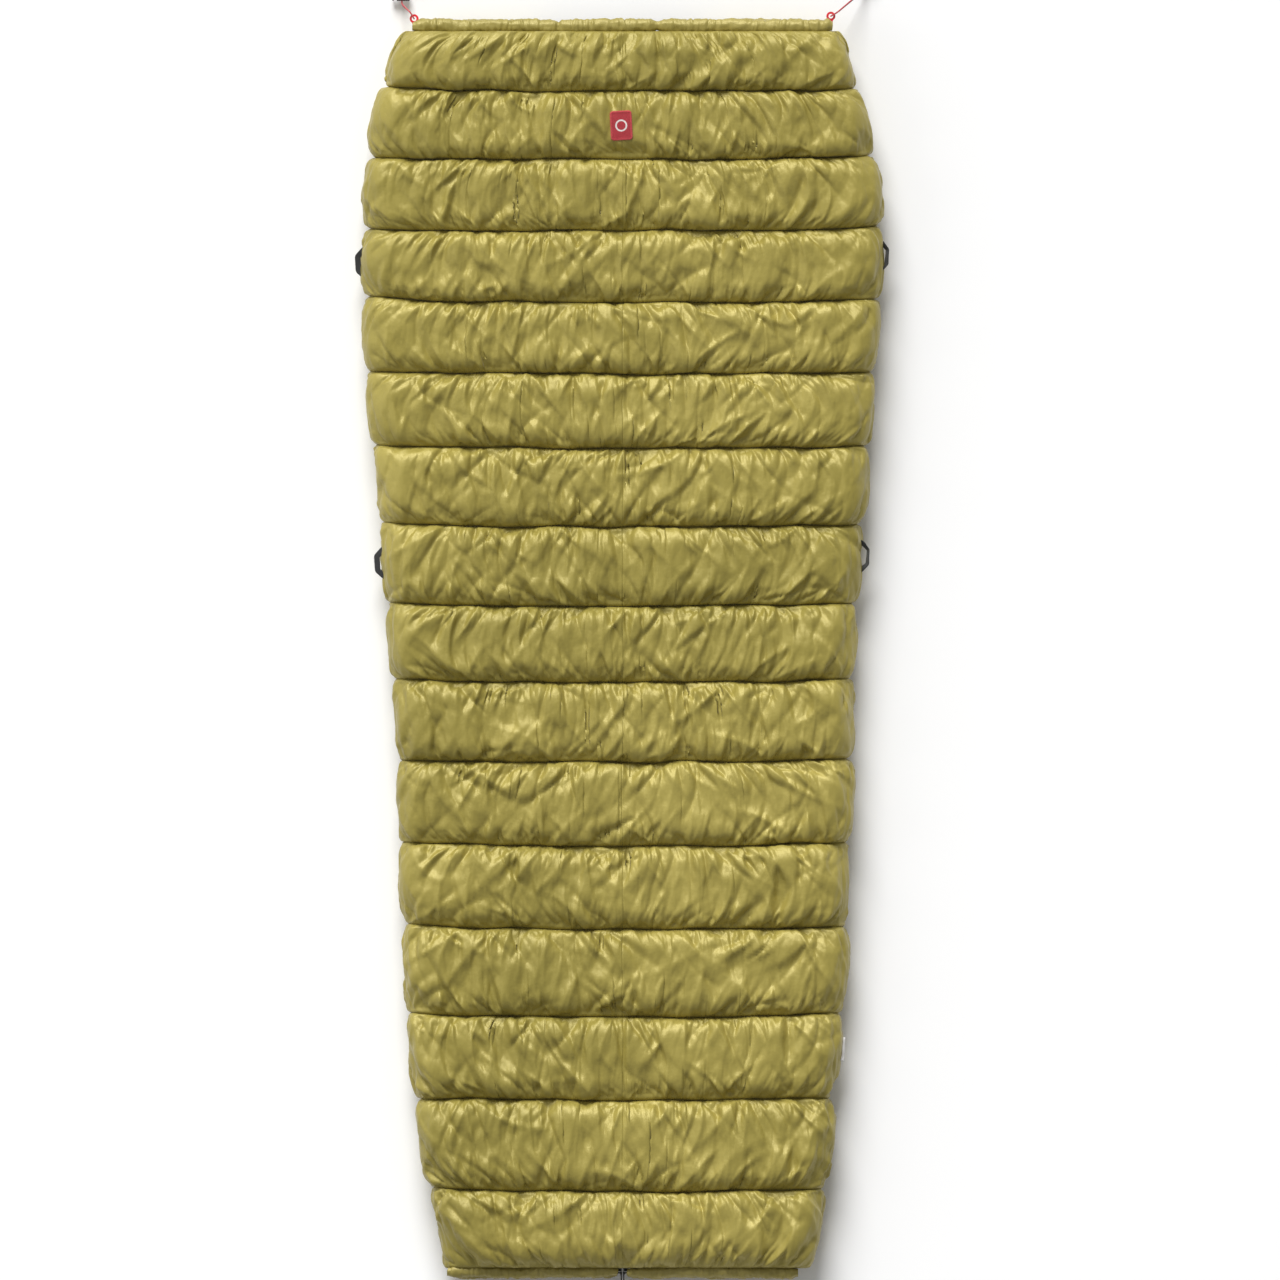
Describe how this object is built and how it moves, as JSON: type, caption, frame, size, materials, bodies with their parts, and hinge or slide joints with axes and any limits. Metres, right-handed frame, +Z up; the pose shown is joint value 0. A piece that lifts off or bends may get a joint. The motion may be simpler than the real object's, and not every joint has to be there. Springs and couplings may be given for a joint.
{
  "type": "camp quilt",
  "caption": "Down-filled camp quilt with cross baffles, fold-under side flaps, foot-box zip, drawcord hems, cord locks and side webbing loops, laid flat and face up.",
  "frame": {"origin": "on the floor at the centre of the laid-out quilt's bounding box", "axes": "+Z up from the floor, +Y towards the head hem, +X to the side that carries the care label"},
  "size_m": [0.8336, 2.1602, 0.1012],
  "materials": {
    "shell_nylon": "satin",
    "lining_nylon": "satin",
    "wall_mesh": "matte",
    "down_fill": "matte",
    "elastic_cord": "matte",
    "lock_plastic": "satin",
    "button_plastic": "satin",
    "spring_steel": "satin",
    "red_cord": "matte",
    "red_plastic": "satin",
    "black_webbing": "matte",
    "label_satin": "satin",
    "patch_weave": "matte",
    "zip_tape": "matte",
    "zip_coil": "satin",
    "zip_metal": "satin"
  },
  "bodies": {
    "centre_panel": {"outer_shell_centre": "shell_nylon", "inner_lining_centre": "lining_nylon", "baffle_walls_centre": "wall_mesh", "down_chamber_01": "down_fill", "down_chamber_02": "down_fill", "down_chamber_03": "down_fill", "down_chamber_04": "down_fill", "down_chamber_05": "down_fill", "down_chamber_06": "down_fill", "down_chamber_07": "down_fill", "down_chamber_08": "down_fill", "down_chamber_09": "down_fill", "down_chamber_10": "down_fill", "down_chamber_11": "down_fill", "down_chamber_12": "down_fill", "down_chamber_13": "down_fill", "down_chamber_14": "down_fill", "down_chamber_15": "down_fill", "down_chamber_16": "down_fill", "head_hem_centre": "shell_nylon", "foot_hem_centre": "shell_nylon", "neck_drawcord": "elastic_cord", "foot_drawcord": "elastic_cord", "ring_tab_left": "red_plastic", "ring_tab_right": "red_plastic", "woven_patch": "patch_weave"},
    "left_flap": {"outer_shell_left_flap": "shell_nylon", "inner_lining_left_flap": "lining_nylon", "baffle_walls_left_flap": "wall_mesh", "down_chambers_left_flap": "down_fill", "hems_left_flap": "shell_nylon", "zip_tape_left": "zip_tape", "zip_coil_left": "zip_coil", "zip_end_stop_left": "zip_metal"},
    "right_flap": {"outer_shell_right_flap": "shell_nylon", "inner_lining_right_flap": "lining_nylon", "baffle_walls_right_flap": "wall_mesh", "down_chambers_right_flap": "down_fill", "hems_right_flap": "shell_nylon", "zip_tape_right": "zip_tape", "zip_coil_right": "zip_coil", "zip_end_stop_right": "zip_metal"},
    "zip_slider": {"zip_slider": "zip_metal"},
    "zip_puller": {"zip_puller": "zip_metal"},
    "loop_upper_left": {"side_loop_upper_left": "black_webbing"},
    "loop_lower_left": {"side_loop_lower_left": "black_webbing"},
    "loop_upper_right": {"side_loop_upper_right": "black_webbing"},
    "loop_lower_right": {"side_loop_lower_right": "black_webbing"},
    "care_label": {"care_label": "label_satin"},
    "neck_cord_left": {"neck_cord_left": "red_cord"},
    "neck_lock_left": {"neck_cord_lock_left": "lock_plastic", "neck_lock_spring_left": "spring_steel"},
    "neck_button_left": {"neck_lock_button_left": "button_plastic"},
    "neck_cord_right": {"neck_cord_right": "red_cord"},
    "neck_lock_right": {"neck_cord_lock_right": "lock_plastic", "neck_lock_spring_right": "spring_steel"},
    "neck_button_right": {"neck_lock_button_right": "button_plastic"},
    "foot_lock": {"foot_cord_lock": "lock_plastic", "foot_lock_spring": "spring_steel"},
    "foot_button": {"foot_lock_button": "button_plastic"}
  },
  "joints": [
    {"name": "left_flap_fold", "type": "hinge", "parent": "centre_panel", "child": "left_flap", "pos_m": [-0.36046, 0, 0.05], "axis": [-0.0639, 0.998, 0], "range_deg": [0, 171]},
    {"name": "right_flap_fold", "type": "hinge", "parent": "centre_panel", "child": "right_flap", "pos_m": [0.36046, 0, 0.05], "axis": [-0.0639, -0.998, 0], "range_deg": [0, 171]},
    {"name": "loop_upper_left_turn", "type": "hinge", "parent": "centre_panel", "child": "loop_upper_left", "pos_m": [-0.36046, 0, 0.05], "axis": [-0.0639, 0.998, 0], "range_deg": [0, 86]},
    {"name": "loop_lower_left_turn", "type": "hinge", "parent": "centre_panel", "child": "loop_lower_left", "pos_m": [-0.36046, 0, 0.05], "axis": [-0.0639, 0.998, 0], "range_deg": [0, 86]},
    {"name": "loop_upper_right_turn", "type": "hinge", "parent": "centre_panel", "child": "loop_upper_right", "pos_m": [0.36046, 0, 0.05], "axis": [-0.0639, -0.998, 0], "range_deg": [0, 86]},
    {"name": "loop_lower_right_turn", "type": "hinge", "parent": "centre_panel", "child": "loop_lower_right", "pos_m": [0.36046, 0, 0.05], "axis": [-0.0639, -0.998, 0], "range_deg": [0, 86]},
    {"name": "care_label_turn", "type": "hinge", "parent": "centre_panel", "child": "care_label", "pos_m": [0.36046, 0, 0.05], "axis": [-0.0639, -0.998, 0], "range_deg": [0, 86]},
    {"name": "zip_slide", "type": "slide", "parent": "right_flap", "child": "zip_slider", "axis": [0, -1, 0], "range_m": [0, 0.485]},
    {"name": "zip_pull_swing", "type": "hinge", "parent": "zip_slider", "child": "zip_puller", "pos_m": [0, -0.48864, 0.01995], "axis": [1, 0, 0], "range_deg": [0, 180]},
    {"name": "neck_cord_swing_left", "type": "hinge", "parent": "centre_panel", "child": "neck_cord_left", "pos_m": [-0.324, 0.96035, 0.05], "axis": [0, 0, 1], "range_deg": [-70, 55]},
    {"name": "neck_cord_swing_right", "type": "hinge", "parent": "centre_panel", "child": "neck_cord_right", "pos_m": [0.324, 0.96435, 0.05], "axis": [0, 0, 1], "range_deg": [-35, 80]},
    {"name": "neck_lock_slide_left", "type": "slide", "parent": "neck_cord_left", "child": "neck_lock_left", "axis": [0, 1, 0], "range_m": [0, 0.036]},
    {"name": "neck_lock_slide_right", "type": "slide", "parent": "neck_cord_right", "child": "neck_lock_right", "axis": [0, 1, 0], "range_m": [0, 0.036]},
    {"name": "foot_lock_slide", "type": "slide", "parent": "centre_panel", "child": "foot_lock", "axis": [0, -1, 0], "range_m": [0, 0.024]},
    {"name": "neck_button_press_left", "type": "slide", "parent": "neck_lock_left", "child": "neck_button_left", "axis": [1, 0, 0], "range_m": [0, 0.004], "stiffness_N_per_m": 300, "springref_m": -0.002, "deforming": ["neck_lock_spring_left"]},
    {"name": "neck_button_press_right", "type": "slide", "parent": "neck_lock_right", "child": "neck_button_right", "axis": [-1, 0, 0], "range_m": [0, 0.004], "stiffness_N_per_m": 300, "springref_m": -0.002, "deforming": ["neck_lock_spring_right"]},
    {"name": "foot_button_press", "type": "slide", "parent": "foot_lock", "child": "foot_button", "axis": [-1, 0, 0], "range_m": [0, 0.004], "stiffness_N_per_m": 300, "springref_m": -0.002, "deforming": ["foot_lock_spring"]}
  ],
  "couplings": [
    {"joint": "loop_upper_left_turn", "follows": "left_flap_fold", "ratio": 0.5},
    {"joint": "loop_lower_left_turn", "follows": "left_flap_fold", "ratio": 0.5},
    {"joint": "loop_upper_right_turn", "follows": "right_flap_fold", "ratio": 0.5},
    {"joint": "loop_lower_right_turn", "follows": "right_flap_fold", "ratio": 0.5},
    {"joint": "care_label_turn", "follows": "right_flap_fold", "ratio": 0.5}
  ]
}
